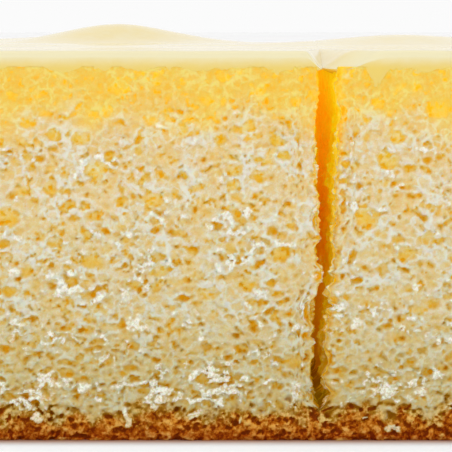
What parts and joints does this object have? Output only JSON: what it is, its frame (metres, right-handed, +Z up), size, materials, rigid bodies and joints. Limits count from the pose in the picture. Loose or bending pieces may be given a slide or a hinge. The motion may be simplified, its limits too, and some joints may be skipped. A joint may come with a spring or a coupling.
{
  "type": "iced castella sponge cake",
  "caption": "Rectangular slab of yellow sponge cake with a thin brown base crust and pale icing on top, knife-cut down the middle as far as the crust.",
  "frame": {"origin": "centre of the cake's base, on the surface that it rests on", "axes": "+Z up, +X along the slab's length across both portions, -Y out of the front cut face that the picture shows"},
  "size_m": [0.09, 0.06, 0.0422],
  "materials": {
    "sponge_crumb": "open, moist crumb, pale yellow, brown at the base crust",
    "pale_icing": "smooth, soft gloss, faintly see-through cream colour"
  },
  "bodies": {
    "root": {"sponge": "sponge_crumb", "icing_left": "pale_icing", "icing_right": "pale_icing"}
  },
  "joints": []
}
